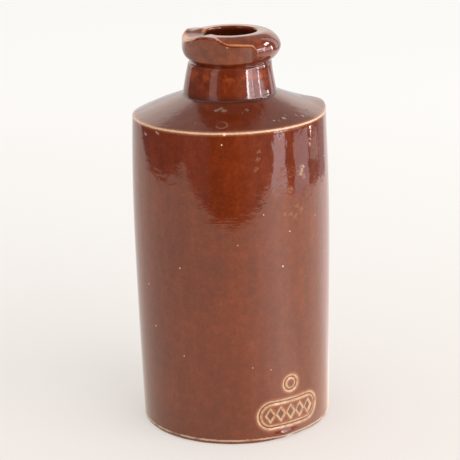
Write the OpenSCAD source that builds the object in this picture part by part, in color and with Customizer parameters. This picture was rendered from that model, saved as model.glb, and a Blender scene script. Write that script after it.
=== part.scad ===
// Stoneware ink bottle: thrown wall, flat sloping shoulder, short neck and a
// thick rolled lip with a pressed pouring spout. One hollow piece.

/* [Wall] */
// Height of the sharp shoulder edge above the table
shoulder_h = 141.8; // [120:0.1:165]
// Radius of the shoulder edge
shoulder_r = 42.6; // [38:0.1:43.2]
// Widest radius of the wall
belly_r = 43.9; // [43.4:0.1:46]
// Height of the widest place
belly_h = 92; // [70:1:105]
// Radius of the wall at the table
foot_r = 42.5; // [39:0.1:43.2]
// Rounding of the foot's edge
foot_round = 1.4; // [0.5:0.1:3]
// Rounding of the shoulder edge
edge_round = 0.9; // [0.4:0.1:2]

/* [Neck] */
// Rise of the shoulder's slope from its edge to the neck
shoulder_rise = 8; // [6:0.1:11]
// Radius of the neck at its foot
neck_root_r = 20.5; // [19.5:0.1:22]
// Radius of the neck under the lip
neck_top_r = 18.3; // [18:0.1:20.5]
// Hollow rounding between shoulder and neck
neck_fillet = 1.6; // [0.8:0.1:2.5]
// How far the neck stands off the body's middle
neck_shift = 0.8; // [0.1:0.1:2]

/* [Lip] */
// Height of the middle of the rolled ring above the foot of the neck
neck_len = 20.6; // [18:0.1:23]
// Radius of the ring's middle line
ring_r = 15; // [14.5:0.1:16]
// Half the thickness of the ring
ring_half = 6.85; // [6.3:0.05:7.3]
// How far the lip and the mouth stand off the body's middle
lip_shift = 1.6; // [0.5:0.1:2.5]
// Radius of the mouth
mouth_r = 11.5; // [10:0.1:12.5]

/* [Spout] */
// Direction in which the spout points, counted from the right-hand side
spout_turn = 188; // [150:1:210]
// How far the trough's floor lies above the middle of the ring
trough_up = 4.5; // [3.4:0.1:5.2]
// Radius across the trough
trough_r = 26; // [22:1:40]
// Fall of the trough's floor towards its tip, in degrees
trough_fall = 5; // [3:0.5:10]
// Radius of the flattened side of the lip next to the spout
press_r = 35; // [28:1:45]
// How deep the lip is flattened there
press_depth = 2.5; // [1.5:0.1:3.5]
// Turn from the spout to the middle of the flattened side
press_turn = 67; // [60:1:80]
// How far the ridge between trough and flattened side rises above the ring's middle
ridge_up = 7.4; // [6.6:0.1:8.2]
// How far the ridge's sloping back rises above it over the middle of the mouth
ridge_back_up = 5.2; // [4.4:0.1:6]
// Slope of the ridge's back, in degrees
ridge_slope = 12.5; // [9:0.5:16]
// How far the ridge's back runs on behind the middle of the mouth
ridge_run = 10; // [6:0.5:12]

/* [Inside] */
// Thickness of the wall
wall = 6; // [4.5:0.1:8]
// Thickness of the floor
floor_t = 7; // [5:0.1:10]
// Rounding between the floor and the wall inside
inside_round = 9; // [5:0.5:14]

/* [Pressed mark] */
// Direction of the mark's middle, counted from the right-hand side
mark_turn = -56; // [-80:1:-30]
// Height of the frame's middle above the table
mark_h = 12.4; // [11:0.1:20]
// Length of the frame from end to end
mark_len = 32; // [26:0.5:36]
// Height of the frame
mark_w = 12.6; // [10:0.1:14]
// Width of the frame's line
mark_line = 1.1; // [0.8:0.1:1.6]
// Depth to which the mark is pressed into the wall
mark_depth = 0.5; // [0.3:0.05:0.9]
// Number of lozenges in the frame
lozenges = 5; // [3:1:5]
// Half the height of a lozenge
lozenge_half = 2.7; // [2:0.1:3]
// Height of the small ring's middle above the middle of the frame
dot_ring_up = 13.6; // [12:0.1:20]
// Radius of the small ring
dot_ring_r = 3.6; // [2.5:0.1:4.5]

/* [Hidden] */
$fn = 96;
wall_steps = 10;
arc_steps = 4;
neck_root_h = shoulder_h + shoulder_rise;
ring_h = neck_root_h + neck_len;
right_angle = 90;
shoulder_slope = atan2(shoulder_rise, shoulder_r - neck_root_r);
neck_foot_h = neck_root_h - neck_shift * tan(shoulder_slope);
ring_out = ring_r + ring_half;
cavity_r = foot_r - wall;
corner_gain = 2;
cavity_side_h = shoulder_h - wall - corner_gain;
cavity_top_h = neck_root_h - wall;
lozenge_pitch = (mark_len - mark_w / 2) / lozenges;
bore_overlap = 2;
reach = 60;
glaze_brown = [0.43, 0.19, 0.11];

// Points of an arc in section, from one angle to another
function arc(mid, r, from, to) = [
    for (i = [0 : arc_steps])
        let (a = from + i * (to - from) / arc_steps)
            [mid[0] + r * cos(a), mid[1] + r * sin(a)]
];

// Radius of the wall at a height: it swells to the belly and draws in above it
function wall_r(z) = z < belly_h
    ? belly_r - (belly_r - foot_r) * pow((belly_h - z) / belly_h, 1.5)
    : belly_r - (belly_r - shoulder_r) * pow((z - belly_h) / (shoulder_h - belly_h), 2);

// Points of the wall between two heights, set in by some amount
function wall_line(from, to, inset) = [
    for (i = [1 : wall_steps - 1])
        let (z = from + i * (to - from) / wall_steps)
            [wall_r(z) - inset, z]
];

// Body with its sloping shoulder, solid
module body_solid() {
    rotate_extrude() polygon(concat(
        [[0, 0]],
        arc([wall_r(foot_round) - foot_round, foot_round], foot_round, -90, 0),
        wall_line(foot_round, shoulder_h - edge_round, 0),
        arc([shoulder_r - edge_round, shoulder_h - edge_round], edge_round, 0, right_angle - shoulder_slope),
        [[neck_root_r, neck_root_h], [0, neck_root_h]]
    ));
}

// Neck up to the middle of the lip, solid
module neck_solid() {
    translate([neck_shift, 0, 0]) rotate_extrude() polygon(concat(
        [[0, cavity_side_h], [neck_root_r + neck_fillet, cavity_side_h]],
        arc([neck_root_r + neck_fillet, neck_foot_h + neck_fillet], neck_fillet, -90, -180),
        [[neck_top_r, ring_h - ring_half], [neck_top_r, ring_h], [0, ring_h]]
    ));
}

// Block that rises towards the spout and makes the two ridges beside it
module ridge_block() {
    intersection() {
        translate([0, 0, ring_h]) cylinder(h = ridge_up, r = ring_out);
        translate([0, 0, ring_h + ridge_back_up]) rotate([0, -ridge_slope, 0])
            translate([-ridge_run, -reach / 2, -reach]) cube([reach, reach, reach]);
    }
}

// Wide upright cylinder that flattens the lip on one side of the spout
module press_side(turn) {
    rotate([0, 0, turn]) translate([ring_out - press_depth - press_r, 0, ring_h - reach / 2])
        cylinder(h = reach, r = press_r);
}

// Trough from the mouth to the spout's tip, falling outwards
module trough() {
    translate([ring_r, 0, ring_h + trough_up]) rotate([0, trough_fall, 0]) translate([-ring_r, 0, trough_r])
        rotate([0, 90, 0]) cylinder(h = reach, r = trough_r);
}

// Rolled lip with its spout pointing along its own X
module lip_solid() {
    difference() {
        intersection() {
            union() {
                rotate_extrude() translate([ring_r, ring_h]) circle(ring_half);
                ridge_block();
            }
            press_side(press_turn);
            press_side(-press_turn);
        }
        trough();
    }
}

// Hollow for the ink, with its sloping shoulder
module cavity() {
    rotate_extrude() polygon(concat(
        [[0, floor_t]],
        arc([cavity_r - inside_round, floor_t + inside_round], inside_round, -90, 0),
        [[cavity_r, cavity_side_h], [mouth_r, cavity_top_h], [0, cavity_top_h]]
    ));
}

// Flat drawing of the mark: a frame with lozenges in it and a ring above
module mark_face() {
    half_len = (mark_len - mark_w) / 2;
    difference() {
        union() {
            square([2 * half_len, mark_w], center = true);
            for (side = [-1, 1]) translate([side * half_len, 0]) circle(mark_w / 2);
        }
        union() {
            square([2 * half_len, mark_w - 2 * mark_line], center = true);
            for (side = [-1, 1]) translate([side * half_len, 0]) circle(mark_w / 2 - mark_line);
        }
    }
    for (i = [0 : lozenges - 1]) translate([(i - (lozenges - 1) / 2) * lozenge_pitch, 0])
        polygon([[lozenge_half * 0.7, 0], [0, lozenge_half], [-lozenge_half * 0.7, 0], [0, -lozenge_half]]);
    translate([0, dot_ring_up]) difference() {
        circle(dot_ring_r);
        circle(dot_ring_r - mark_line);
    }
}

// What the mark takes out of the wall
module mark_cut() {
    difference() {
        translate([0, 0, mark_h]) rotate([90, 0, 90 + mark_turn]) linear_extrude(reach) mark_face();
        rotate_extrude() polygon(concat(
            [[0, -1], [wall_r(0) - mark_depth, -1]],
            wall_line(0, shoulder_h / 2, mark_depth),
            [[0, shoulder_h / 2]]
        ));
    }
}

module bottle() {
    color(glaze_brown) difference() {
        union() {
            body_solid();
            neck_solid();
            translate([lip_shift, 0, 0]) rotate([0, 0, spout_turn]) lip_solid();
        }
        cavity();
        translate([lip_shift, 0, cavity_top_h - bore_overlap]) cylinder(h = reach, r = mouth_r);
        mark_cut();
    }
}

bottle();
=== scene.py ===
"""Stoneware ink bottle: the thrown, pressed and glazed piece, and the table it is shown on."""
import math
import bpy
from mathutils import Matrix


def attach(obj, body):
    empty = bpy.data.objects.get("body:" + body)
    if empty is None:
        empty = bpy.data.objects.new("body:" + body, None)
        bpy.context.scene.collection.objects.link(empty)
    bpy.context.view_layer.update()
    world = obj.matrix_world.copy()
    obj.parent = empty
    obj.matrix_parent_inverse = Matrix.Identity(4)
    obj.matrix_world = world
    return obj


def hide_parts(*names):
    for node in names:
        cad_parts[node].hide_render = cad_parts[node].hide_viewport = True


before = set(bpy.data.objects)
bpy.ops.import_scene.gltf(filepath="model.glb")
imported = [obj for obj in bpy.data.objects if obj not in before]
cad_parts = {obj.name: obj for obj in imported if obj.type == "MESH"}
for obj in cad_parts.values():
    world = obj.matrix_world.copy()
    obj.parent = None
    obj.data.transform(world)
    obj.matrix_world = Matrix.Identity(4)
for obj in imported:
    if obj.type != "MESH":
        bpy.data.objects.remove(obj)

from types import SimpleNamespace

import bpy
import numpy as np
from bpy.props import FloatProperty, FloatVectorProperty, IntProperty, PointerProperty
from mathutils import Matrix, Vector

bl_info = {
    "name": "Stoneware Ink Bottle",
    "version": (1, 0, 0),
    "blender": (4, 5, 0),
    "location": "View3D > Sidebar > Bottle",
    "description": "Throws, presses and glazes a stoneware ink bottle and sets it on a table",
    "category": "Add Mesh",
}

MM = 0.001
TURN = 2 * math.pi
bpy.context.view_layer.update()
PIECE = "bottle_glazed"


# Properties

def length(name, description, millimetres):
    """A length whose default is given in millimetres."""
    return number(name, description, millimetres * MM, unit="LENGTH", precision=4)


def number(name, description, default, **more):
    """A plain number."""
    return FloatProperty(name=name, description=description, default=default, **more)


def angle(name, description, degrees):
    """An angle whose default is given in degrees."""
    return number(name, description, math.radians(degrees), subtype="ANGLE")


def colour(name, description, rgb):
    """A linear colour."""
    return FloatVectorProperty(name=name, description=description, default=rgb, subtype="COLOR", min=0,
                               max=1)


class BottleSizes(bpy.types.PropertyGroup):
    """Sizes of the thrown bottle and of its pressed lip."""
    foot_r: length("Foot radius", "Radius at the table", 42.48)
    foot_round: length("Foot rounding", "Rounding of the edge", 1.3)
    belly_r: length("Belly radius", "Widest radius", 43.86)
    belly_h: length("Belly height", "Height of the widest place", 92)
    shoulder_r: length("Shoulder radius", "Radius of the shoulder edge", 42.6)
    shoulder_h: length("Shoulder height", "Height of the shoulder edge", 141.8)
    shoulder_round: length("Shoulder rounding", "Rounding of the shoulder edge", 0.7)
    shoulder_rise: length("Shoulder rise", "Rise from the edge to the neck", 8.0)
    neck_root_r: length("Neck foot radius", "Radius at its foot", 20.5)
    neck_top_r: length("Neck top radius", "Radius under the lip", 18.3)
    neck_fillet: length("Neck fillet", "Rounding between shoulder and neck", 1.6)
    neck_shift: length("Neck shift", "Shift of the neck", 0.6)
    lip_shift: length("Lip shift", "Shift of the lip and mouth", 1.65)
    ring_r: length("Ring radius", "Radius of the lip's middle line", 15.0)
    ring_h: length("Ring height", "Height of the lip's middle line", 170.4)
    ring_half: length("Ring half thickness", "Half the thickness of the rolled lip", 6.85)
    mouth_r: length("Mouth radius", "Radius of the mouth", 11.5)
    wall: length("Wall", "Thickness of the wall", 6.0)
    floor: length("Floor", "Thickness of the floor", 7.0)
    inside_round: length("Inside rounding", "Rounding between floor and wall inside", 9.0)
    spout_turn: angle("Spout direction", "Direction from the right-hand side", 189)
    spout_reach: length("Spout reach", "Spout's tip from the mouth's middle", 21.4)
    trough_up: length("Trough height", "Trough's floor above the ring's middle", 4.6)
    trough_r: length("Trough radius", "Radius across the trough at the mouth", 17)
    trough_flare: number("Trough flare", "Growth of its radius outwards", 2.5)
    trough_fall: angle("Trough fall", "Fall towards the spout's tip", 5)
    ring_power: number("Ring fullness", "Power of its section outside", 1.75)
    under_power: number("Ring underside", "Power of its section below", 1.6)
    rim_power: number("Rim fullness", "Power of its section at the mouth", 4.0)
    press_r: length("Press radius", "Radius of the near press", 24)
    press_depth: length("Press depth", "How deep the near side is flattened", 1.7)
    press_turn: angle("Press direction", "Turn from the spout to the near press", 67.4)
    press_end: length("Press end", "Where the near press ends", -5.6)
    press_lean: angle("Press lean", "How far it leans in below", 7.6)
    far_press_r: length("Far press radius", "Radius of the far press", 35)
    far_press_depth: length("Far press depth", "How deep the far side is flattened", 1.3)
    far_press_turn: angle("Far press direction", "Turn from the spout to the far press", -86)
    ridge_up: length("Ridge height", "Ridge above the ring's middle", 7.3)
    near_back_up: length("Near ridge back", "Near ridge's back above the ring", 1.41)
    near_slope: angle("Near ridge slope", "Slope of the near ridge's back", 30.1)
    far_back_up: length("Far ridge back", "Far ridge's back above the ring", 3.95)
    far_slope: angle("Far ridge slope", "Slope of the far ridge's back", 8.3)
    columns: IntProperty(name="Columns", description="Columns of faces", default=330, min=48)
    crowding: number("Crowding", "How far columns crowd at the mark", 0.55, min=0, max=0.9)


class MarkSizes(bpy.types.PropertyGroup):
    """Sizes of the plain mark pressed into the wall."""
    turn: angle("Mark direction", "Direction of the mark's middle, from the front", 34)
    height: length("Mark height", "Height of the frame's middle", 12.4)
    long: length("Mark length", "Length of the frame", 32)
    wide: length("Mark width", "Height of the frame", 12.6)
    line: length("Mark line", "Width of the frame's line", 1.1)
    depth: length("Mark depth", "Depth to which the mark is pressed", 0.45)
    lozenges: IntProperty(name="Lozenges", description="Number of lozenges in the frame", default=5, min=3)
    lozenge_half: length("Lozenge", "Half the height of a lozenge", 2.7)
    ring_up: length("Small ring", "Small ring's middle above the frame's", 13.6)
    ring_r: length("Small ring radius", "Radius of the small ring", 3.6)


class GlazeColours(bpy.types.PropertyGroup):
    """Colours of the glaze and of the clay under it."""
    deep: colour("Deep glaze", "Glaze where it lies thick", (0.118, 0.0175, 0.005))
    middle: colour("Glaze", "Glaze on the wall", (0.175, 0.0265, 0.006))
    bright: colour("Bright glaze", "Glaze where it is thinner", (0.235, 0.045, 0.012))
    thin: colour("Thin glaze", "Glaze that has run off an edge", (0.46, 0.17, 0.06))
    bare: colour("Bare edge", "Clay that shows along the edges", (0.85, 0.56, 0.38))
    clay: colour("Clay", "Unglazed clay of the foot", (0.50, 0.36, 0.24))
    rim: colour("Mark's rim", "Rims of its lines", (0.66, 0.42, 0.26))
    pool: colour("Mark's pool", "Glaze pooled in the mark", (0.10, 0.032, 0.012))


class TableSettings(bpy.types.PropertyGroup):
    """Camera, light and table."""
    lens: number("Lens", "Focal length on a 36 mm sensor", 138.8, min=20)
    distance: length("Distance", "Distance from the camera to its aim", 798.3)
    aim_h: length("Aim height", "Height of the camera's aim", 86.33)
    aim_x: length("Aim side", "Side shift of the camera's aim", -0.9)
    tilt: angle("Tilt", "How far the camera looks down", 17.03)
    roll: angle("Roll", "How far the camera leans", -1.54)
    near: colour("Table", "Table in front", (0.875, 0.825, 0.78))
    far: colour("Backdrop", "Sweep behind", (0.965, 0.95, 0.925))
    shadow_lift: number("Shadow lift", "How far the shadow is lightened", 0.5, min=0, max=1)
    ambient: number("Room light", "Strength of the even light", 0.92, min=0)
    key: number("Window light", "Power of the light from the right", 18.5, min=0, unit="POWER")
    key_size: length("Window light size", "Side of the soft light", 1700)
    key_colour: colour("Window light colour", "Colour of the soft light", (1.0, 0.96, 0.91))


# Node helpers

def math_node(operation, reflected=False):
    """A method of Flow that adds a Math node; a reflected one swaps its values."""
    def method(flow, *others):
        return flow.calc(operation, *((*others, flow) if reflected else (flow, *others)))
    return method


class Flow:
    """A node socket that Python's operators calculate with."""

    def __init__(self, tree, socket):
        self.tree = tree
        self.socket = socket

    def calc(self, operation, *values):
        return Bench(self.tree).flow("ShaderNodeMath", {"operation": operation}, dict(enumerate(values)))

    __add__, __radd__ = math_node("ADD"), math_node("ADD", True)
    __sub__, __rsub__ = math_node("SUBTRACT"), math_node("SUBTRACT", True)
    __mul__, __rmul__ = math_node("MULTIPLY"), math_node("MULTIPLY", True)
    __truediv__, __rtruediv__ = math_node("DIVIDE"), math_node("DIVIDE", True)
    __abs__, root, whole = math_node("ABSOLUTE"), math_node("SQRT"), math_node("ROUND")
    least, most = math_node("MINIMUM"), math_node("MAXIMUM")

    def step(self, low, high):
        """0 below low, 1 above high, smooth between; high may lie below low."""
        flip = high < low
        values = self, min(low, high), max(low, high), int(flip), int(not flip)
        return Bench(self.tree).flow("ShaderNodeMapRange", {"interpolation_type": "SMOOTHSTEP"},
                                     dict(enumerate(values)))


def join(tree, value, socket):
    """Links a Flow to a socket, or writes a plain value into it."""
    if isinstance(value, Flow):
        tree.links.new(value.socket, socket)
    elif socket.type == "RGBA" and len(value) == 3:
        socket.default_value = (*value, 1)
    else:
        socket.default_value = value


class Bench:
    """Makes the nodes of one tree."""

    def __init__(self, tree):
        self.tree = tree

    def node(self, kind, settings=None, sockets=None):
        """A node of some kind: first its settings, then the values or links of its sockets."""
        node = self.tree.nodes.new(kind)
        for name, value in (settings or {}).items():
            if name == "stops":
                ramp = node.color_ramp
                while len(ramp.elements) < len(value):
                    ramp.elements.new(0.5)
                for element, (place, rgb) in zip(ramp.elements, value):
                    element.position = place
                    element.color = (*rgb, 1)
            else:
                setattr(node, name, value)
        for name, value in (sockets or {}).items():
            join(self.tree, value, node.inputs[name])
        return node

    def flow(self, kind, settings=None, sockets=None, output=0):
        """The same; gives back one output."""
        return Flow(self.tree, self.node(kind, settings, sockets).outputs[output])

    def blend(self, factor, first, second):
        """Mixes two colours."""
        return self.flow("ShaderNodeMix", {"data_type": "RGBA"}, {0: factor, 6: first, 7: second}, 2)

    def coats(self, base, *coats):
        """Lays colours over a base, one by one: (mask, colour)."""
        for mask, rgb in coats:
            base = self.blend(mask, base, rgb)
        return base

    def place(self):
        """Object coordinates, in metres."""
        return self.flow("ShaderNodeTexCoord", None, None, "Object")

    def axes(self, vector):
        """The three coordinates of a vector."""
        node = self.node("ShaderNodeSeparateXYZ", None, {0: vector})
        return [Flow(self.tree, output) for output in node.outputs]

    def noise(self, vector, scale, detail=2.0, rough=0.5, output=0):
        """Soft noise from 0 to 1 on coordinates in millimetres."""
        return self.flow("ShaderNodeTexNoise", None,
                         {"Vector": vector, "Scale": scale, "Detail": detail, "Roughness": rough}, output)

    def stretch(self, vector, factors, shift=(0, 0, 0)):
        """Coordinates scaled and shifted along each axis."""
        return self.flow("ShaderNodeVectorMath", {"operation": "MULTIPLY_ADD"},
                         {0: vector, 1: factors, 2: shift})

    def finish(self, kind, sockets):
        """Makes the last shader and links it to the material's output."""
        self.node("ShaderNodeOutputMaterial", None, {0: self.flow(kind, None, sockets)})


def new_material(name):
    """An empty node material and its bench."""
    material = bpy.data.materials.new(name)
    material.use_nodes = True
    material.node_tree.nodes.clear()
    return material, Bench(material.node_tree)


def put(name, data):
    """A new object in the scene."""
    obj = bpy.data.objects.new(name, data)
    bpy.context.scene.collection.objects.link(obj)
    return obj


# Thrown profile

def arc(mid, radius, start, end, count, zone, shift=0):
    """Rows of an arc in section, from one angle to another in degrees."""
    turns = np.radians(np.linspace(start, end, count))
    return [(mid[0] + radius * math.cos(a), shift, mid[1] + radius * math.sin(a), zone) for a in turns]


def wall_radius(s, z):
    """Radius of the thrown wall at a height, in millimetres."""
    z = np.asarray(z, dtype=float)
    fall = np.clip(s.belly_h - z, 0, None) / s.belly_h
    rise = np.clip(z - s.belly_h, 0, None) / (s.shoulder_h - s.belly_h)
    low = s.belly_r - (s.belly_r - s.foot_r) * fall ** 1.5
    return low - (s.belly_r - s.shoulder_r) * rise ** 2


def in_millimetres(group):
    """The values of a property group, with lengths in millimetres."""
    values = {}
    for name, prop in group.bl_rna.properties.items():
        if name in ("rna_type", "name"):
            continue
        value = getattr(group, name)
        values[name] = value / MM if getattr(prop, "unit", "NONE") == "LENGTH" else value
    return SimpleNamespace(**values)


# Rows of the lip, and the angles of its section at the first and the last of them
LIP_ROWS, LIP_START, LIP_END = 72, -67.0, 180.0
# Radii of the rows under the foot and on the floor inside
FOOT_ROWS = (0, 12, 24, 34, 39.4)
FLOOR_ROWS = (14, 0)
# Rows of the wall where the mark is pressed: first and last height and the step; and where the rest begins
MARK_ROWS, PLAIN_ROWS_FROM = (1.9, 32.2, 0.42), 33.5
# Share of the lip's shift that the neck takes on
NECK_BEND = 0.4


def side_rows(start, end, count, zone, bend=1):
    """Rows after one (radius, shift, height) up to another; a higher bend leaves the shift to the end."""
    rows = []
    for t in np.linspace(0, 1, count)[1:]:
        r, shift, z = (a + (b - a) * u for a, b, u in zip(start, end, (t, t ** bend, t)))
        rows.append((r, shift, z, zone))
    return rows


def profile(s):
    """Rows (radius, shift of its middle, height, zone) from the foot over the lip to the floor inside."""
    rows = [(r, 0, 0, "foot") for r in FOOT_ROWS]
    corner = (float(wall_radius(s, s.foot_round)) - s.foot_round, s.foot_round)
    rows += arc(corner, s.foot_round, -90, 0, 6, "foot")
    top = s.shoulder_h - s.shoulder_round
    heights = np.concatenate([np.arange(*MARK_ROWS), np.linspace(PLAIN_ROWS_FROM, top - 1.5, 34)])
    rows += [(float(wall_radius(s, z)), 0, float(z), "wall") for z in heights]
    slope = math.degrees(math.atan2(s.shoulder_rise, s.shoulder_r - s.neck_root_r))
    corner = (s.shoulder_r - s.shoulder_round, top)
    rows += arc(corner, s.shoulder_round, 0, 90 - slope, 6, "edge")
    root_h = s.shoulder_h + s.shoulder_rise
    fillet_h = root_h - s.neck_shift * math.tan(math.radians(slope))
    mid = (s.neck_root_r + s.neck_fillet, fillet_h + s.neck_fillet)
    fillet = arc(mid, s.neck_fillet, -90 - slope * 0.6, -180, 7, "neck", s.neck_shift)
    rows += side_rows(rows[-1], fillet[0], 22, "slope", 2)[:-1] + fillet
    pinch_h = s.ring_h - s.ring_half
    bent = s.neck_shift + (s.lip_shift - s.neck_shift) * NECK_BEND
    foot = (s.neck_root_r, s.neck_shift, fillet[-1][2])
    rows += side_rows(foot, (s.neck_top_r, bent, pinch_h), 13, "neck", 3)
    rows.append((s.neck_top_r - 0.3, (s.neck_shift + s.lip_shift) / 2, pinch_h + 0.28, "neck"))
    rows.append((s.neck_top_r - 1.2, s.lip_shift, pinch_h + 0.4, "neck"))
    rows += arc((s.ring_r, s.ring_h), s.ring_half, LIP_START, LIP_END, LIP_ROWS, "lip", s.lip_shift)
    side_r, low = s.foot_r - s.wall, s.floor + s.inside_round
    throat = (s.mouth_r, s.lip_shift, root_h - s.wall)
    under_shoulder = (side_r, 0, s.shoulder_h - s.wall - 2)
    rows += side_rows((s.mouth_r, s.lip_shift, s.ring_h), throat, 14, "bore")
    rows += side_rows(throat, under_shoulder, 8, "inside")
    rows += side_rows(under_shoulder, (side_r, 0, low), 8, "inside")[:-1]
    corner = (side_r - s.inside_round, low)
    rows += arc(corner, s.inside_round, 0, -90, 7, "inside")
    rows += [(r, 0, s.floor, "inside") for r in FLOOR_ROWS]
    return rows


def throwing_tree(material):
    """Geometry nodes that turn a profile into a thrown form: each point is (radius, shift, height)."""
    tree = bpy.data.node_groups.new("thrown form", "GeometryNodeTree")
    face = tree.interface
    for name, kind in (("Profile", "Geometry"), ("Columns", "Int"), ("Rows", "Int"), ("Crowding", "Float"),
                       ("Crowded Side", "Float")):
        face.new_socket(name, in_out="INPUT", socket_type="NodeSocket" + kind)
    face.new_socket("Form", in_out="OUTPUT", socket_type="NodeSocketGeometry")
    bench = Bench(tree)
    given = bench.node("NodeGroupInput")
    profile_in, columns, rows, crowding, side = (Flow(tree, given.outputs[i]) for i in range(5))
    grid = bench.flow("GeometryNodeMeshGrid", None, {"Vertices X": columns + 1, "Vertices Y": rows})
    place = bench.flow("GeometryNodeInputPosition")
    x, y, _ = bench.axes(place)
    row = ((y + 0.5) * (rows - 1)).whole()
    point = bench.flow("GeometryNodeSampleIndex", {"data_type": "FLOAT_VECTOR", "clamp": True},
                       {"Geometry": profile_in, "Value": place, "Index": row})
    radius, shift, height = bench.axes(point)
    swing = (x + 0.5) * TURN
    bearing = swing + side - crowding * swing.calc("SINE", swing)
    x, y = radius * bearing.calc("COSINE", bearing) + shift, radius * bearing.calc("SINE", bearing)
    spot = bench.flow("ShaderNodeCombineXYZ", None, {0: x, 1: y, 2: height})
    form = bench.flow("GeometryNodeStoreNamedAttribute", None,
                      {"Geometry": grid, "Name": "row", "Value": row})
    form = bench.flow("GeometryNodeSetPosition", None, {"Geometry": form, "Position": spot})
    form = bench.flow("GeometryNodeMergeByDistance", None, {"Geometry": form, "Distance": 1e-6})
    form = bench.flow("GeometryNodeSetShadeSmooth", None, {"Geometry": form})
    form = bench.flow("GeometryNodeRealizeInstances", None, {"Geometry": form})
    form = bench.flow("GeometryNodeSetMaterial", None, {"Geometry": form, "Material": material})
    bench.node("NodeGroupOutput", None, {0: form})
    return tree


def throw(s, rows, material, crowded_side):
    """Turns the profile on the wheel and gives back a plain mesh."""
    mesh = bpy.data.meshes.new("profile")
    mesh.from_pydata([(r * MM, shift * MM, z * MM) for r, shift, z, _ in rows], [], [])
    wheel = put("wheel", mesh)
    tree = throwing_tree(material)
    modifier = wheel.modifiers.new("thrown form", "NODES")
    modifier.node_group = tree
    values = {"Columns": s.columns, "Rows": len(rows), "Crowding": s.crowding, "Crowded Side": crowded_side}
    for item in tree.interface.items_tree:
        if item.name in values:
            modifier[item.identifier] = values[item.name]
    thrown = bpy.data.meshes.new_from_object(wheel.evaluated_get(bpy.context.evaluated_depsgraph_get()))
    thrown.name = PIECE
    bpy.data.objects.remove(wheel)
    bpy.data.meshes.remove(mesh)
    return thrown


# Pressed forms

def soft_max(a, b, soft):
    """The larger of two distances, rounded where they meet."""
    gap = np.clip(1 - np.abs(a - b) / soft, 0, None)
    return np.maximum(a, b) + soft * gap ** 2 / 4


def soft_min(a, b, soft):
    """The smaller of two distances, with a hollow rounding where they meet."""
    return -soft_max(-a, -b, soft)


def bump(x, mid, wide):
    """A soft bump of height 1."""
    return np.exp(-((x - mid) / wide) ** 2)


def pressed_side(along, across, reach, radius, turn):
    """Distance from a wide upright cylinder whose side comes to a reach in some direction."""
    mid = reach - radius
    return np.hypot(along - mid * math.cos(turn), across - mid * math.sin(turn)) - radius


# Height above the ring's middle about which the near press leans
LEAN_ABOUT = 5.5
# Length over which the near press comes away at its end, and how far
PRESS_AWAY, PRESS_OFF = 3.6, 4
# Width over which the near ridge's back passes into the far one's
BACKS_MEET = 12
# Distance from the mouth's middle behind which the far ridge's back falls, and by how much
FAR_FALL_FROM, FAR_FALL = 6, 0.5
# Smallest radius across the trough
TROUGH_LEAST = 12
# Length of the rays along which the lip's surface is sought, and how often it is halved
RAY_LENGTH, HALVINGS = 12.0, 34


def lip_forms(s, r, z, turn):
    """Distances of a point of the lip from its forms, negative inside, in millimetres."""
    along, across, up = r * np.cos(turn), r * np.sin(turn), z - s.ring_h
    reach = s.ring_r + s.ring_half
    out, high = np.abs(r - s.ring_r) / s.ring_half, np.abs(up) / (s.ring_half - 0.07)
    power = np.where(up < 0, s.under_power, np.where(r < s.ring_r, s.rim_power, s.ring_power))
    ring = ((out ** power + high ** power) ** (1 / power) - 1) * s.ring_half
    near = np.clip(across / BACKS_MEET + 0.5, 0, 1)
    back_near = s.near_back_up + along * math.tan(s.near_slope)
    back_far = s.far_back_up + along * math.tan(s.far_slope)
    back_far = back_far - np.clip(FAR_FALL_FROM - along, 0, None) * FAR_FALL
    back = soft_max(up - near * back_near - (1 - near) * back_far, up - s.ridge_up, 0.8)
    side = soft_max(r - reach + 0.15, along - s.spout_reach, 1.2)
    block = soft_max(soft_max(back, side, 1.0), 0.5 - up, 1.5)
    clay = soft_max(soft_min(ring, block, 1.0), along - s.spout_reach, 1.2)
    press = pressed_side(along, across, reach - s.press_depth, s.press_r, s.press_turn)
    press = press - (up - LEAN_ABOUT) * math.tan(s.press_lean)
    press = press - np.clip((s.press_end - along) / PRESS_AWAY, 0, 1) ** 2 * PRESS_OFF
    far = pressed_side(along, across, reach - s.far_press_depth, s.far_press_r, s.far_press_turn)
    press = soft_max(press, far, 0.5)
    floor = s.trough_up - (along - s.ring_r) * math.tan(s.trough_fall)
    radius = np.clip(s.trough_r + s.trough_flare * (along - s.mouth_r), TROUGH_LEAST, None)
    trough = (up - floor - across ** 2 / radius / 2) / np.sqrt(1 + (across / radius) ** 2)
    return clay, press, np.where(along > 0, trough, -5.0), soft_max(back, trough, 0.5), side


def lip_distance(s, r, z, turn):
    """Distance from the surface of the finished lip, negative in the clay."""
    clay, press, trough, _, _ = lip_forms(s, r, z, turn)
    body = soft_max(soft_max(clay, press, 0.55), trough, 0.9)
    return soft_max(body, s.mouth_r - r, 0.6)


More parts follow.
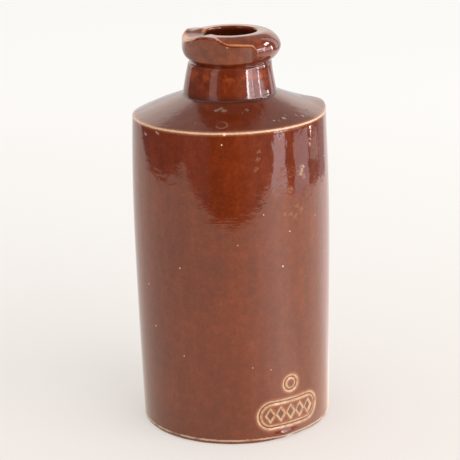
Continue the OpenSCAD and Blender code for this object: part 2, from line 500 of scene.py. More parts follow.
def press_lip(s, points, row, zones):
    """Moves the rows of the lip onto the pressed form and says where the glaze ran thin."""
    first = zones.index("lip")
    chosen = (row >= first) & (row < first + LIP_ROWS)
    x, y = points[chosen, 0] / MM - s.lip_shift, points[chosen, 1] / MM
    bearing = np.arctan2(y, x)
    turn = bearing - s.spout_turn
    tilt = np.radians(LIP_START + (LIP_END - LIP_START) * (row[chosen] - first) / (LIP_ROWS - 1))
    low, high = np.zeros(len(turn)), np.full(len(turn), RAY_LENGTH)
    for _ in range(HALVINGS):
        mid = (low + high) / 2
        probe_r, probe_z = s.ring_r + mid * np.cos(tilt), s.ring_h + mid * np.sin(tilt)
        inside = lip_distance(s, probe_r, probe_z, turn) < 0
        low, high = np.where(inside, mid, low), np.where(inside, high, mid)
    r, z = s.ring_r + low * np.cos(tilt), s.ring_h + low * np.sin(tilt)
    points[chosen, 0] = (s.lip_shift + r * np.cos(bearing)) * MM
    points[chosen, 1] = r * np.sin(bearing) * MM
    points[chosen, 2] = z * MM
    clay, press, trough, top, side = lip_forms(s, r, z, turn)
    thin = np.zeros(len(points))
    upper = np.clip((z - s.ring_h - 0.5) / 1.5, 0, 1)
    outer = np.maximum(np.where(np.cos(turn) > 0.55, top, clay), trough)
    arris = bump(outer, press, 0.42)
    tip = bump(top, side, 0.6) * np.clip((np.cos(turn) - 0.75) * 8, 0, 1)
    rim = bump(r, s.mouth_r + 1.0, 0.9) * np.clip(-np.sin(turn) * 2, 0, 1)
    rim = rim * np.clip(z - s.ring_h - 4.6, 0, 1)
    patch = bump(r * np.cos(turn), 19.4, 1.8) * bump(r * np.sin(turn), -3.6, 5.0) * 0.95
    thin[chosen] = np.clip(arris + tip * 0.6 + rim * 0.9 + patch, 0, 1) * upper
    return thin


# Width of a lozenge over its height, and the slant of its sides
LOZENGE_SLIM, LOZENGE_SLANT = 0.7, 0.573
# Half the width and the height of the patch that holds the mark
PATCH_HALF, PATCH_HIGH = 20, 33


def mark_distance(m, u, v):
    """Distance from the mark's lines, negative in them; plain arrays or Flows, in millimetres."""
    half = (m.long - m.wide) / 2
    hard = not isinstance(u, Flow)
    clip = (lambda a: np.clip(a, 0, None)) if hard else (lambda a: a.most(0))
    root = np.sqrt if hard else (lambda a: a.root())
    least = np.minimum if hard else (lambda a, b: a.least(b))
    ends = clip(abs(u) - half)
    frame_line = abs(root(ends * ends + v * v) - (m.wide - m.line) / 2) - m.line / 2
    pitch = (m.long - m.wide / 2) / m.lozenges
    last = (m.lozenges - 1) / 2
    step = (np.round if hard else (lambda a: a.whole()))(u / pitch)
    step = np.clip(step, -last, last) if hard else step.least(last).most(-last)
    lozenge = (abs(u - step * pitch) / LOZENGE_SLIM + abs(v) - m.lozenge_half) * LOZENGE_SLANT
    above = v - m.ring_up
    ring = abs(root(u * u + above * above) - (m.ring_r - m.line / 2)) - m.line / 2
    return least(least(frame_line, lozenge), ring)


def push_out(points, out):
    """Moves points away from the middle line, in millimetres."""
    radius = np.hypot(points[:, 0], points[:, 1]) / MM
    factor = np.where(radius > 1, (radius + out) / np.maximum(radius, 1), 1)
    points[:, :2] *= factor[:, None]


def press_mark(s, m, points, zone):
    """Presses the mark into the wall."""
    heights = points[:, 2] / MM
    bearing = np.arctan2(points[:, 0], -points[:, 1])
    u = (bearing - m.turn) * wall_radius(s, m.height)
    near = (zone == "wall") & (np.abs(u) < PATCH_HALF) & (heights < PATCH_HIGH)
    distance = mark_distance(m, u[near], heights[near] - m.height)
    sink = np.clip((0.25 - distance) / 0.6, 0, 1)
    sink = sink * sink * (3 - 2 * sink) * m.depth
    out = np.zeros(len(points))
    out[near] = bump(distance, 0.45, 0.3) * 0.07 - sink
    push_out(points, out)


# Dragged places of the foot: direction and width in degrees, share of the full depth
DRAGS = [(37, 12, 1.0), (150, 22, 0.55)]
DRAG_DEPTH = 1.1
# Bead of glaze there: direction and width in degrees; height and width; thickness
BEAD_TURN, BEAD_UP, BEAD_OUT = (31, 9), (2.9, 1.5), 1.15
# Lump and dent of the shoulder: direction and width in degrees
LUMP, DENT = (106, 14), (-112, 20)
LUMP_OUT, LUMP_UP, DENT_DOWN = 0.8, 1.2, 0.6


def wear(points, zone):
    """Drags the foot's edge and bends the shoulder."""
    z, radius = points[:, 2] / MM, np.hypot(points[:, 0], points[:, 1]) / MM
    bearing = np.degrees(np.arctan2(points[:, 0], -points[:, 1]))
    dragged = sum(share * bump(bearing, mid, wide) for mid, wide, share in DRAGS)
    wavy = 0.5 + 0.5 * np.sin(np.radians(bearing) * 23 + 1.2 * np.sin(np.radians(bearing) * 11))
    cut = dragged * (0.75 + 0.5 * wavy) + 0.12 * wavy
    low = np.isin(zone, ("foot", "wall")) & (z < 8) & (radius > 36)
    sink = np.clip(1 - z[low] / (1.6 + 1.9 * dragged[low]), 0, 1) ** 1.6 * DRAG_DEPTH * cut[low]
    bead = BEAD_OUT * bump(bearing[low], *BEAD_TURN) * bump(z[low], *BEAD_UP)
    out = np.zeros(len(points))
    out[low] = bead - sink
    top = np.isin(zone, ("wall", "edge", "slope")) & (z > 130) & (radius > 30)
    edge = np.clip((radius - 33) / 8, 0, 1) * np.clip((z - 132) / 9, 0, 1)
    lump, dent = bump(bearing, *LUMP) * edge, bump(bearing, *DENT) * edge
    out[top] += LUMP_OUT * lump[top]
    points[top, 2] += (LUMP_UP * lump[top] - DENT_DOWN * dent[top]) * MM
    push_out(points, out)


# Material

# Single marks of the wall: degrees from the front, height and radius in millimetres
PALE_SPECKS = [
    (29.3, 81.1, 0.55), (34.3, 96.2, 0.4), (2.9, 92.8, 0.3), (18, 105.4, 0.35), (-58.4, 69.6, 0.4),
    (-4.6, 136.7, 0.45), (9.9, 36.3, 0.3), (20.9, 34.3, 0.3), (-31.2, 40.6, 0.35), (-53.1, 51, 0.45),
    (-3, 141.2, 0.95), (150, 60, 0.5), (-140, 100, 0.5), (95, 44, 0.4)]
# A grey patch on the upper right of the wall: a painted reflection with torn edges
PAINTED_REFLECTION = [(44.8, 123.0, 2.1), (43.6, 120.6, 2.2), (46.0, 118.8, 1.6)]
# Streaks: the first three make a painted highlight along a drip, the rest are pale streaks of glaze
STREAKS_AND_HIGHLIGHTS = [
    (46.0, 123.4, 0.9), (45.0, 121.8, 1.0), (44.0, 120.2, 1.0), (-57.2, 137.6, 1.0), (-45.6, 139.4, 1.0),
    (52.6, 131.6, 0.9)]
DIMPLES = [
    (38.8, 102.0, 2.0), (42.8, 104.6, 1.9), (35.4, 103.8, 1.5), (40.0, 106.8, 1.6), (31.2, 104.0, 1.2),
    (15.6, 129.6, 1.4), (14.4, 125.4, 1.4), (16.4, 133.0, 1.1), (35.6, 114.0, 1.8)]
NOTCHES = [
    (48.4, 109.6, 1.5), (51.2, 110.6, 1.5), (-40.4, 120.4, 2.1), (-43.0, 121.0, 1.4), (-32.4, 107.8, 0.8)]
# Single marks of the shoulder: x, y, z and radius in millimetres
# Blisters: raised, and lightened as a painted highlight
BLISTERS_AND_HIGHLIGHTS = [
    (-5.2, -26.0, 147.8, 1.5), (-3.4, -25.0, 148.2, 1.6), (-2.0, -26.6, 147.7, 1.6),
    (7.4, -25.8, 148.0, 0.9), (18.8, -31.4, 143.9, 0.8), (31.6, -21.7, 143.3, 1.0),
    (23.2, -28.2, 144.0, 1.2)]
# Pits: sunk, and darkened as painted shade
PITS_AND_SHADE = [
    (8.6, -27.0, 147.4, 0.75), (6.0, -28.6, 146.8, 0.55), (21.5, -30.4, 143.9, 0.8),
    (29.0, -22.0, 143.9, 0.9), (24.5, -24.5, 144.8, 0.7), (14.0, -30.5, 145.1, 0.6),
    (-15.0, -33.0, 144.2, 0.6), (33.5, -14.0, 143.8, 0.8)]
# Faint round print on the shoulder: its middle and its radius
PRINT_AT, PRINT_R = (-3.2, -36.6, 143.9), 2.3
# How far the edges of the larger marks are torn, in millimetres
TEAR = 3.4
GLAZE_IOR = 1.65


def shade(rgb, factor):
    """A colour made darker or lighter."""
    return tuple(v * factor for v in rgb)


def speck_mask(bench, vector, scale, share, size):
    """Small round specks: share of the cells that hold one, and size in cells."""
    node = bench.node("ShaderNodeTexVoronoi", None, {"Vector": vector, "Scale": scale})
    distance = Flow(bench.tree, node.outputs["Distance"])
    pick = bench.node("ShaderNodeSeparateColor", None, {0: Flow(bench.tree, node.outputs["Color"])})
    chosen = Flow(bench.tree, pick.outputs[0]).step(1 - share, 1 - share * 0.8)
    reach = Flow(bench.tree, pick.outputs[1]) * 0.7 + 0.3
    return (distance / reach).step(size, size * 0.45) * chosen


def gap_to(bench, vector, point):
    """Distance from a point."""
    return bench.flow("ShaderNodeVectorMath", {"operation": "DISTANCE"}, {0: vector, 1: point}, 1)


def spot_mask(bench, vector, places):
    """Single specks at given places: (x, y, z, radius) in millimetres."""
    total = None
    for *point, reach in places:
        mask = gap_to(bench, vector, point).step(reach, reach * 0.4)
        total = mask if total is None else total.most(mask)
    return total


def on_wall(s, places):
    """Turns (degrees from the front, height, radius) into (x, y, z, radius)."""
    points = []
    for degrees, z, reach in places:
        r, a = float(wall_radius(s, z)), math.radians(degrees)
        points.append((r * math.sin(a), -r * math.cos(a), z, reach))
    return points


class Ground:
    """Coordinates in millimetres, zones and noises that the whole glaze shares."""

    def __init__(self, bench, s):
        self.spot = bench.flow("ShaderNodeVectorMath", {"operation": "SCALE"},
                               {0: bench.place(), "Scale": 1 / MM})
        x, y, self.z = bench.axes(self.spot)
        self.radius = (x * x + y * y).root()
        self.bearing = x.calc("ARCTAN2", x, y * -1)
        self.clouds = bench.noise(self.spot, 0.035, 3)
        self.runs = bench.noise(bench.stretch(self.spot, (1, 1, 0.12)), 0.22, 3)
        self.grain = bench.noise(self.spot, 1.3, 2)
        self.curdle = bench.noise(self.spot, 0.24, 4, 0.55)
        self.ragged = bench.noise(self.spot, 0.9, 3) - 0.5
        neck_h = s.shoulder_h + s.shoulder_rise
        self.slope = self.z.step(s.shoulder_h - 0.5, s.shoulder_h + 0.5)
        self.slope = self.slope * self.z.step(neck_h + 3.2, neck_h + 1.2)
        self.upper = self.z.step(neck_h + 2.2, neck_h + 4.2)
        self.under = self.z.step(0.5, 0.15)


def glaze_colour(bench, g, s, c):
    """Glaze of the wall, the shoulder, the neck and the mouth, with its mottles and runs; painted shade
    darkens the mouth and the shoulder's slope, and a painted highlight lightens the neck.
    """
    depth = (g.clouds * 0.45 + g.runs * 0.45 + g.grain * 0.45 + g.curdle * 0.65) / 2
    fleck = bench.noise(g.spot, 0.62, 3, 0.6)
    # Painted highlight: a lighter, more orange band round the top of the neck, broken up by the mottles.
    painted_neck_highlight = abs(g.z - (s.ring_h - 10.2)).step(2.6, 0.4) * g.curdle.step(0.44, 0.56)
    # A darker line along the crease at the neck's foot, broken up by the runs.
    dark_root_line = abs(g.z - (s.shoulder_h + s.shoulder_rise + 0.3)).step(0.9, 0.2) * g.radius.step(24, 22.5)
    # Painted shade: the glaze inside the mouth is darkened, standing in for the shade down the bore.
    mouth = (g.radius - s.lip_shift).step(s.mouth_r + 0.1, s.mouth_r - 0.5)
    mouth = mouth * g.z.step(s.ring_h + 6.2, s.ring_h + 4.6)
    return bench.coats(
        c.deep, (depth.step(0.36, 0.62), c.middle), (depth.step(0.52, 0.72) * 0.8, c.bright),
        (fleck.step(0.46, 0.72) * 0.26, c.bright),
        # Painted shade: the shoulder's slope, which faces up into the light, is darkened towards the deep
        # glaze.
        (g.slope * (0.95 - g.curdle * 0.7), shade(c.deep, 0.8)),
        (g.upper * g.curdle.step(0.48, 0.7) * (0.3 + g.grain * 0.6), c.bright),
        (g.upper * g.curdle.step(0.47, 0.33) * 0.7, c.deep), (painted_neck_highlight * 0.6, shade(c.bright, 1.4)),
        (dark_root_line * (0.2 + g.runs), shade(c.deep, 0.4)), (mouth * 0.9, shade(c.deep, 0.35)))


def thin_edges(bench, g, s, c, base):
    """Glaze that ran thin on the lip, the shoulder edge and the foot: the colour and the bare lines."""
    thin = bench.flow("ShaderNodeAttribute", {"attribute_name": "thin"}, None, 2)
    edge_z, edge_r = g.z - (s.shoulder_h - 0.42), g.radius - (s.shoulder_r - 0.12)
    edge = (edge_z * edge_z + edge_r * edge_r * 0.6).root() + g.ragged * 0.5
    edge_line = edge.step(0.52, 0.3)
    broken = bench.noise(bench.stretch(g.spot, (1, 1, 0.3)), 0.16, 2).step(0.36, 0.5)
    foot_line = abs(g.z - 1.95 + g.ragged * 0.7).step(0.55, 0.25)
    foot_line = foot_line * g.radius.step(40, 40.8) * (0.2 + broken * 0.55)
    base = bench.coats(
        base, ((thin * (0.55 + g.runs * 0.9)).step(0.25, 0.85), c.thin),
        ((thin * (0.4 + g.grain * 0.8)).step(0.62, 0.95) * 0.55, c.bare),
        (edge.step(1.5, 0.5) * 0.45, c.thin),
        (edge_line.most(foot_line) * (0.7 + g.grain * 0.3), shade(c.bare, 0.84)))
    return base, edge_line.most(foot_line), edge_line


def mark_colour(bench, g, s, m, c, base):
    """Pale rims and dark pools of the pressed mark: the colour and the rims."""
    along = (g.bearing - m.turn) * float(wall_radius(s, m.height))
    lines = mark_distance(m, along, g.z - m.height) + g.ragged * 0.22
    pressed = g.z.step(PATCH_HIGH + 1, PATCH_HIGH) * g.radius.step(38, 39)
    pressed = pressed * abs(along).step(PATCH_HALF, PATCH_HALF - 1)
    rim = lines.step(-0.4, -0.1) * lines.step(0.85, 0.45) * pressed
    patchy = bench.noise(g.spot, 0.5, 2).step(0.3, 0.6)
    base = bench.coats(
        base, (lines.step(2.2, 0.4) * pressed * (0.25 + g.curdle * 0.5), c.thin),
        (lines.step(-0.1, -0.4) * pressed * 0.8, c.pool), (rim * (0.3 + patchy * 0.5), c.rim))
    return base, rim


def single_marks(bench, g, s, c, base):
    """Specks, blisters, pits, streaks and a grey patch: the colour, the pale specks and the relief; the
    blisters and a drip get painted highlights, the pits painted shade, and the grey patch is a painted
    reflection.
    """
    pale = spot_mask(bench, g.spot, on_wall(s, PALE_SPECKS))
    blisters_and_highlights, pits_and_shade = spot_mask(bench, g.spot, BLISTERS_AND_HIGHLIGHTS), spot_mask(bench, g.spot, PITS_AND_SHADE)
    ring_print = abs(gap_to(bench, g.spot, PRINT_AT) - PRINT_R).step(0.7, 0.1)
    ring_print = ring_print * (g.runs.step(0.4, 0.6) * 0.8 + 0.2)
    swirl = bench.noise(g.spot, 0.7, 2, 0.6, "Color")
    tear = bench.stretch(swirl, (TEAR,) * 3, (-TEAR / 2,) * 3)
    torn = bench.flow("ShaderNodeVectorMath", {"operation": "ADD"}, {0: g.spot, 1: tear})
    # The first mask is the painted grey reflection
    painted_reflection, streaks_and_highlights, dimples, notches = (spot_mask(bench, torn, on_wall(s, places))
                                        for places in (PAINTED_REFLECTION, STREAKS_AND_HIGHLIGHTS, DIMPLES, NOTCHES))
    freckles = speck_mask(bench, g.spot, 0.22, 0.10, 0.12)
    dots = speck_mask(bench, bench.stretch(g.spot, (1, 1, 1), (31, 7, 3)), 0.4, 0.12, 0.16)
    base = bench.coats(
        # Painted highlight: the blisters are lightened with the bare colour
        base, (ring_print * 0.09 + blisters_and_highlights * (g.grain * 0.34), c.bare),
        # Painted shade in the pits, then the painted grey reflection
        (pits_and_shade * 0.75, shade(c.deep, 0.4)), (painted_reflection * (0.2 + g.grain * 0.5), shade(c.clay, 0.6)),
        # Painted highlight along a drip, with pale streaks of glaze elsewhere
        (streaks_and_highlights * (0.1 + g.grain * 0.55), c.bare),
        (dimples * (0.25 + g.grain * 0.4), shade(c.thin, 0.62)), (notches * 0.7, c.middle),
        (pale.most(freckles * 0.75), c.bare), (dots * 0.6, c.deep))
    relief = pale * 0.05 + blisters_and_highlights * (0.35 + g.ragged * 1.4) + ring_print * 0.12 - pits_and_shade * 0.3
    relief = relief + streaks_and_highlights * (0.1 + g.ragged * 0.5) - dimples * 0.05 - notches * 0.05
    return base, pale, relief


def glaze_relief(bench, g):
    """Height of the glaze in millimetres: peel, throwing ripples, curtains, drips and pinholes."""
    peel = bench.noise(g.spot, 0.2, 3) * 0.045
    ripple = bench.noise(bench.stretch(g.spot, (0.25, 0.25, 3)), 0.35, 2) * 0.0045
    curtain = bench.noise(bench.stretch(g.spot, (1, 1, 0.07)), 0.55, 1) * 0.004
    fine = bench.noise(g.spot, 1.6, 2) * 0.0012
    blotches = g.z.step(96, 114) * g.z.step(144, 141) * g.curdle.step(0.38, 0.68) * 0.012
    rings = bench.noise(bench.stretch(g.spot, (0.2, 0.2, 5)), 0.4, 1) * abs(g.z - 101.5).step(5, 1) * 0.012
    pinholes = speck_mask(bench, bench.stretch(g.spot, (1, 1, 1), (5, 19, 11)), 0.3, 0.14, 0.14) * -0.05
    drips = g.z.step(118, 126) * g.z.step(141, 139.5) * abs(g.bearing - 0.72).step(0.36, 0.2)
    drips = drips * bench.noise(bench.stretch(g.spot, (1, 1, 0.5)), 0.15, 2) * 0.22
    height = peel + ripple + curtain + fine + blotches + rings + pinholes + drips
    height = height + g.slope * (g.curdle * 0.10 + g.grain * 0.012)
    return height + bench.noise(g.spot, 0.62, 2) * 0.016


def glaze_material(s, m, c):
    """Glossy brown glaze over buff clay: runs, mottles, specks, pits, and clay that shows at the edges,
    with painted shade, painted highlights and a painted reflection.
    """
    material, bench = new_material("brown glaze")
    g = Ground(bench, s)
    base, bare_lines, edge_line = thin_edges(bench, g, s, c, glaze_colour(bench, g, s, c))
    base, rim = mark_colour(bench, g, s, m, c, base)
    base, pale, relief = single_marks(bench, g, s, c, base)
    clay_grain = bench.noise(g.spot, 2.2, 3)
    clay = bench.blend(clay_grain.step(0.35, 0.7), shade(c.clay, 0.72), c.clay)
    base = bench.blend(g.under, base, clay)
    rough = 0.045 + g.grain * 0.03 + g.slope * (0.05 + g.clouds * 0.08)
    rough = rough + bare_lines * 0.22 + rim * 0.15 + pale * 0.3
    rough = rough + g.under * (0.75 - rough)
    height = glaze_relief(bench, g) + relief + edge_line * g.ragged * 0.2 + g.under * clay_grain * 0.06
    normal = bench.flow("ShaderNodeBump", None, {"Distance": MM, "Height": height})
    bench.finish("ShaderNodeBsdfPrincipled",
                 {"Base Color": base, "Roughness": rough, "IOR": GLAZE_IOR, "Normal": normal})
    return material


# Operators

class BOTTLE_OT_throw(bpy.types.Operator):
    """Throw the bottle, press its lip and mark, and glaze it"""
    bl_idname = "bottle.throw"
    bl_label = "Throw Bottle"

    def execute(self, context):
        s, m = in_millimetres(context.scene.bottle_sizes), in_millimetres(context.scene.mark_sizes)
        rows = profile(s)
        zones = [row[3] for row in rows]
        material = glaze_material(s, m, context.scene.glaze_colours)
        mesh = throw(s, rows, material, m.turn - math.pi / 2)
        count = len(mesh.vertices)
        points = np.empty(count * 3)
        mesh.vertices.foreach_get("co", points)
        points = points.reshape(-1, 3)
        row = np.empty(count)
        mesh.attributes["row"].data.foreach_get("value", row)
        thin = press_lip(s, points, row, zones)
        zone = np.array([zones[int(i)] for i in np.round(row)])
        press_mark(s, m, points, zone)
        wear(points, zone)
        mesh.vertices.foreach_set("co", points.ravel())
        mesh.attributes.new("thin", "FLOAT", "POINT").data.foreach_set("value", thin)
        mesh.attributes.remove(mesh.attributes["row"])
        mesh.update()
        piece = put(PIECE, mesh)
        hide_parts("bottle")
        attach(piece, "root")
        return {"FINISHED"}


def glow(name, stops, strength=1.0):
    """Light of a card by the direction from the bottle: (degrees from the front, colour)."""
    material, bench = new_material(name)
    x, y, _ = bench.axes(bench.place())
    turn = x.calc("ARCTAN2", x, y * -1) / TURN + 0.5
    places = [(degrees / 360 + 0.5, rgb) for degrees, rgb in stops]
    tint = bench.flow("ShaderNodeValToRGB", {"stops": places}, {0: turn})
    bench.finish("ShaderNodeEmission", {"Color": tint, "Strength": strength})
    return material


def even_glow(name, rgb, strength=1.0):
    """Light of a card in one colour."""
    return glow(name, [(0, rgb), (10, rgb)], strength)


def reflected(name, points, faces, materials, slots=()):
    """A piece of the room that only the gloss shows."""
    mesh = bpy.data.meshes.new(name)
    mesh.from_pydata([tuple(v * MM for v in point) for point in points], [], faces)
    for material in materials:
        mesh.materials.append(material)
    for face, slot in zip(mesh.polygons, slots):
        face.material_index = slot
    obj = put(name, mesh)
    obj.visible_camera = obj.visible_diffuse = obj.visible_shadow = obj.visible_transmission = False


def window(name, strips, radius, materials):
    """Curved strips: (first and last direction from the front, lowest and highest point, material)."""
    points, faces, slots = [], [], []
    for start, end, low, high, slot in strips:
        count = max(2, int((end - start) / STRIP_STEP) + 1)
        for i in range(count):
            a = math.radians(start + (end - start) * i / (count - 1))
            x, y, r = radius * math.sin(a), -radius * math.cos(a), len(points)
            points += [(x, y, low), (x, y, high)]
            if i:
                faces.append((r - 2, r, r + 1, r - 1))
                slots.append(slot)
    reflected(name, points, faces, materials, slots)


def table(settings):
    """The pale table, paler towards the back, where it serves as the backdrop."""
    mesh = bpy.data.meshes.new("table")
    ys = np.arange(-TABLE_HALF, TABLE_HALF + TABLE_STEP, TABLE_STEP)
    points = [(x, float(y), 0) for y in ys for x in (-TABLE_HALF, TABLE_HALF)]
    mesh.from_pydata(points, [], [(2 * i, 2 * i + 1, 2 * i + 3, 2 * i + 2) for i in range(len(ys) - 1)])
    material, bench = new_material("pale table")
    x, y, _ = bench.axes(bench.place())
    tone = bench.blend((y + x * 0.2).step(-0.15, 0.75), settings.near, settings.far)
    surface = bench.flow("ShaderNodeBsdfDiffuse", None, {"Color": tone})
    shown = bench.flow("ShaderNodeEmission", None, {"Color": tone})
    seen = bench.flow("ShaderNodeLightPath", None, None, "Is Camera Ray") * settings.shadow_lift
    bench.finish("ShaderNodeMixShader", {0: seen, 1: surface, 2: shown})
    mesh.materials.append(material)
    put("table", mesh)


def room(settings):
    """Even light all round; the picture and the gloss see plain white."""
    world = bpy.data.worlds.new("room")
    bpy.context.scene.world = world
    world.use_nodes = True
    tree = world.node_tree
    tree.nodes.clear()
    bench = Bench(tree)
    path = bench.node("ShaderNodeLightPath")
    rays = [Flow(tree, path.outputs[f"Is {kind} Ray"]) for kind in ("Camera", "Glossy", "Transmission")]
    seen = rays[0].most(rays[1]).most(rays[2])
    strength = settings.ambient + seen * (1 - settings.ambient)
    sky = bench.flow("ShaderNodeBackground", None, {"Color": (1, 1, 1), "Strength": strength})
    bench.node("ShaderNodeOutputWorld", None, {0: sky})


def lamp(settings):
    """The soft light from the window's side; the gloss shows the cards instead."""
    data = bpy.data.lights.new("window light", "AREA")
    data.energy, data.size, data.color = settings.key, settings.key_size, settings.key_colour
    obj = put("window light", data)
    place, aim = Vector(LAMP_AT), Vector(LAMP_AIM)
    turned = (aim - place).to_track_quat("-Z", "Y").to_matrix().to_4x4()
    obj.matrix_world = Matrix.Translation(place) @ turned
    obj.visible_glossy = False


def camera(settings):
    """The camera at the photograph's place."""
    data = bpy.data.cameras.new("camera")
    data.lens, data.sensor_width = settings.lens, SENSOR
    forward = Vector((0, math.cos(settings.tilt), -math.sin(settings.tilt)))
    level = Vector((1, 0, 0))
    above = level.cross(forward)
    lean = math.cos(settings.roll), math.sin(settings.roll)
    right = level * lean[0] + above * lean[1]
    up = above * lean[0] - level * lean[1]
    place = Vector((settings.aim_x, 0, settings.aim_h)) - forward * settings.distance
    obj = put("camera", data)
    turned = Matrix((right, up, -forward)).transposed().to_4x4()
    obj.matrix_world = Matrix.Translation(place) @ turned
    bpy.context.scene.camera = obj


# Table and lamp in metres; camera's sensor and window's radius in millimetres
TABLE_HALF, TABLE_STEP = 3.0, 0.1
LAMP_AT, LAMP_AIM = (1.1, -0.95, 0.62), (0, 0, 0.08)
SENSOR = 36.0
WINDOW_R, NECK_WINDOW_R = 455, 452
# Widest piece of a curved strip, in degrees
STRIP_STEP = 3
# Edge of the lit table as the gloss shows it, and its height, in millimetres
EDGE = [(-600, 400), (-545, 180), (-545, -400), (465, -400), (465, 120), (400, 300), (345, 430)]
EDGE_BEHIND = [(300, 900), (-560, 900)]
EDGE_UP = 0.6
DARK_ROOM_H = 640
# Ceiling and the wall behind the bottle, in millimetres
CEILING_H, ROOM_HALF = 1250, 2500
BACK_Y, BACK_LOW, BACK_HIGH = 1300, 350, 1150
# The wall behind is grey to the right of GREY_X and above GREY_LOW
GREY_X, GREY_LOW, GREY_HIGH = 40, 860, 1245
CEILING_TONE, BRIGHT_TONE, GREY_TONE = (0.52, 0.48, 0.44), (1.0, 0.90, 0.82), (0.95, 0.9, 0.85)
# Colour of the dark room by direction, in degrees from the front
ROOM = [
    (-130, (0.16, 0.15, 0.16)), (-60, (0.09, 0.085, 0.10)), (-53, (0.16, 0.13, 0.16)),
    (-27, (0.20, 0.15, 0.17)), (-22, (0.05, 0.05, 0.04)), (-18, (0.008, 0.007, 0.006)),
    (8, (0.015, 0.012, 0.01)), (26, (0.22, 0.20, 0.18)), (46, (0.30, 0.26, 0.26)),
    (70, (0.20, 0.16, 0.15)), (130, (0.30, 0.27, 0.27))]
# Light of the table by direction
TABLE_LIGHT = [
    (-170, (0.95, 0.92, 0.88)), (-70, (0.90, 0.82, 0.68)), (-30, (0.86, 0.78, 0.62)),
    (6, (0.92, 0.82, 0.62)), (25, (1.3, 1.12, 0.92)), (38, (1.65, 1.45, 1.24)), (50, (1.95, 1.75, 1.5)),
    (62, (1.8, 1.55, 1.3)), (74, (1.5, 1.25, 1.0)), (105, (1.6, 1.35, 1.15)), (127, (1.7, 1.5, 1.4)),
    (165, (1.05, 1.0, 0.96))]
# Lights of the window's strips: name, colour, strength
FRAME, BRIGHT, DIM, GREY, LOW, NECK = range(6)
WINDOW_LIGHTS = [
    ("window frame", (1.0, 0.98, 1.0), 14.0), ("bright pane", (1.0, 0.93, 0.98), 2.6),
    ("dim pane", (0.95, 0.92, 1.0), 1.5), ("grey strip", (0.95, 0.90, 0.86), 1.0),
    ("low pane", (0.80, 0.72, 0.76), 0.8), ("neck pane", (1.0, 0.92, 0.97), 4.2)]
# Strips of the window: first and last direction, lowest and highest point, light
WINDOW = [
    (45.5, 65, 16, 90, BRIGHT), (103, 121, 22, 50, GREY), (123, 140, 2, 60, LOW), (51, 65, 80, 83, FRAME),
    (56, 57.5, 66, 90, FRAME), (63, 64.5, 50, 90, FRAME), (76, 100, 6, 75, DIM), (84, 85, 40, 75, FRAME),
    (104, 106, 55, 82, FRAME), (110, 112, 60, 80, FRAME), (104, 114, 68, 71, FRAME),
    (43.5, 48, 153, 300, FRAME), (57.5, 60, 153, 300, FRAME), (78, 82, 153, 300, FRAME),
    (104, 108, 153, 300, FRAME), (44, 66, 152, 156, FRAME), (48, 57, 160, 170, FRAME),
    (50, 88, 300, 345, FRAME), (94, 112, 400, 480, FRAME), (122, 136, 110, 640, DIM),
    (50, 68.5, 110, 520, LOW), (71, 90, 110, 520, LOW), (-51, -32, 110, 640, GREY)]
# Panes between the window's bars that the neck shows
NECK_PANES = [(48.3, 57.3, 157, 300, NECK), (60.2, 77.8, 157, 300, BRIGHT), (82.3, 103.5, 157, 300, BRIGHT)]


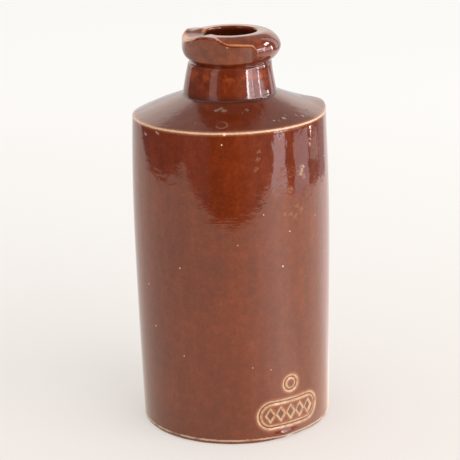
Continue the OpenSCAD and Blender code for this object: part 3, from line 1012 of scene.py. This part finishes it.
def reflected_room():
    """Table, dark room, window, ceiling and wall behind, as the gloss shows them."""
    points = [(x, y, z) for x, y in EDGE for z in (0, DARK_ROOM_H)]
    faces = [(2 * i, 2 * i + 2, 2 * i + 3, 2 * i + 1) for i in range(len(EDGE) - 1)]
    reflected("dark_room", points, faces, [glow("dark room", ROOM)])
    flat = [(x, y, EDGE_UP) for x, y in EDGE + EDGE_BEHIND]
    reflected("lit_table", flat, [tuple(range(len(flat)))], [glow("lit table", TABLE_LIGHT)])
    lights = [even_glow(name, rgb, strength) for name, rgb, strength in WINDOW_LIGHTS]
    window("window", WINDOW, WINDOW_R, lights)
    window("neck_panes", NECK_PANES, NECK_WINDOW_R, lights)
    behind = [(-ROOM_HALF, BACK_LOW), (ROOM_HALF, BACK_LOW), (ROOM_HALF, GREY_LOW), (GREY_X, GREY_LOW),
              (GREY_X, BACK_HIGH), (-ROOM_HALF, BACK_HIGH), (ROOM_HALF, GREY_HIGH), (GREY_X, GREY_HIGH)]
    walls = [even_glow("bright wall", BRIGHT_TONE, 1.5), even_glow("grey wall", GREY_TONE, 0.62)]
    behind = [(x, BACK_Y, z) for x, z in behind]
    reflected("bright_wall", behind, [(0, 1, 2, 3, 4, 5), (3, 2, 6, 7)], walls, [0, 1])
    corners = [(-ROOM_HALF, -ROOM_HALF), (ROOM_HALF, -ROOM_HALF), (ROOM_HALF, BACK_Y), (-ROOM_HALF, BACK_Y)]
    above = [(x, y, CEILING_H) for x, y in corners]
    reflected("ceiling", above, [(0, 1, 2, 3)], [even_glow("ceiling", CEILING_TONE)])


class BOTTLE_OT_stage(bpy.types.Operator):
    """Set up the table, the light and the camera"""
    bl_idname = "bottle.stage"
    bl_label = "Set Stage"

    def execute(self, context):
        settings = context.scene.table_settings
        table(settings)
        room(settings)
        camera(settings)
        reflected_room()
        lamp(settings)
        context.scene.view_settings.view_transform = "Standard"
        return {"FINISHED"}


class BOTTLE_PT_panel(bpy.types.Panel):
    """Sizes, colours and steps of the bottle"""
    bl_label = "Stoneware Ink Bottle"
    bl_idname = "BOTTLE_PT_panel"
    bl_space_type = "VIEW_3D"
    bl_region_type = "UI"
    bl_category = "Bottle"

    def draw(self, context):
        for group in ("bottle_sizes", "mark_sizes", "glaze_colours", "table_settings"):
            values = getattr(context.scene, group)
            box = self.layout.box()
            for name in values.bl_rna.properties.keys():
                if name not in ("rna_type", "name"):
                    box.prop(values, name)
        self.layout.operator("bottle.throw")
        self.layout.operator("bottle.stage")


GROUPS = {"bottle_sizes": BottleSizes, "mark_sizes": MarkSizes, "glaze_colours": GlazeColours,
          "table_settings": TableSettings}
CLASSES = (*GROUPS.values(), BOTTLE_OT_throw, BOTTLE_OT_stage, BOTTLE_PT_panel)


def register():
    for cls in CLASSES:
        bpy.utils.register_class(cls)
    for name, group in GROUPS.items():
        setattr(bpy.types.Scene, name, PointerProperty(type=group))


def unregister():
    for name in GROUPS:
        delattr(bpy.types.Scene, name)
    for cls in reversed(CLASSES):
        bpy.utils.unregister_class(cls)


def main():
    register()
    bpy.ops.bottle.throw()
    bpy.ops.bottle.stage()
    bpy.context.view_layer.update()


if __name__ == "__main__":
    main()
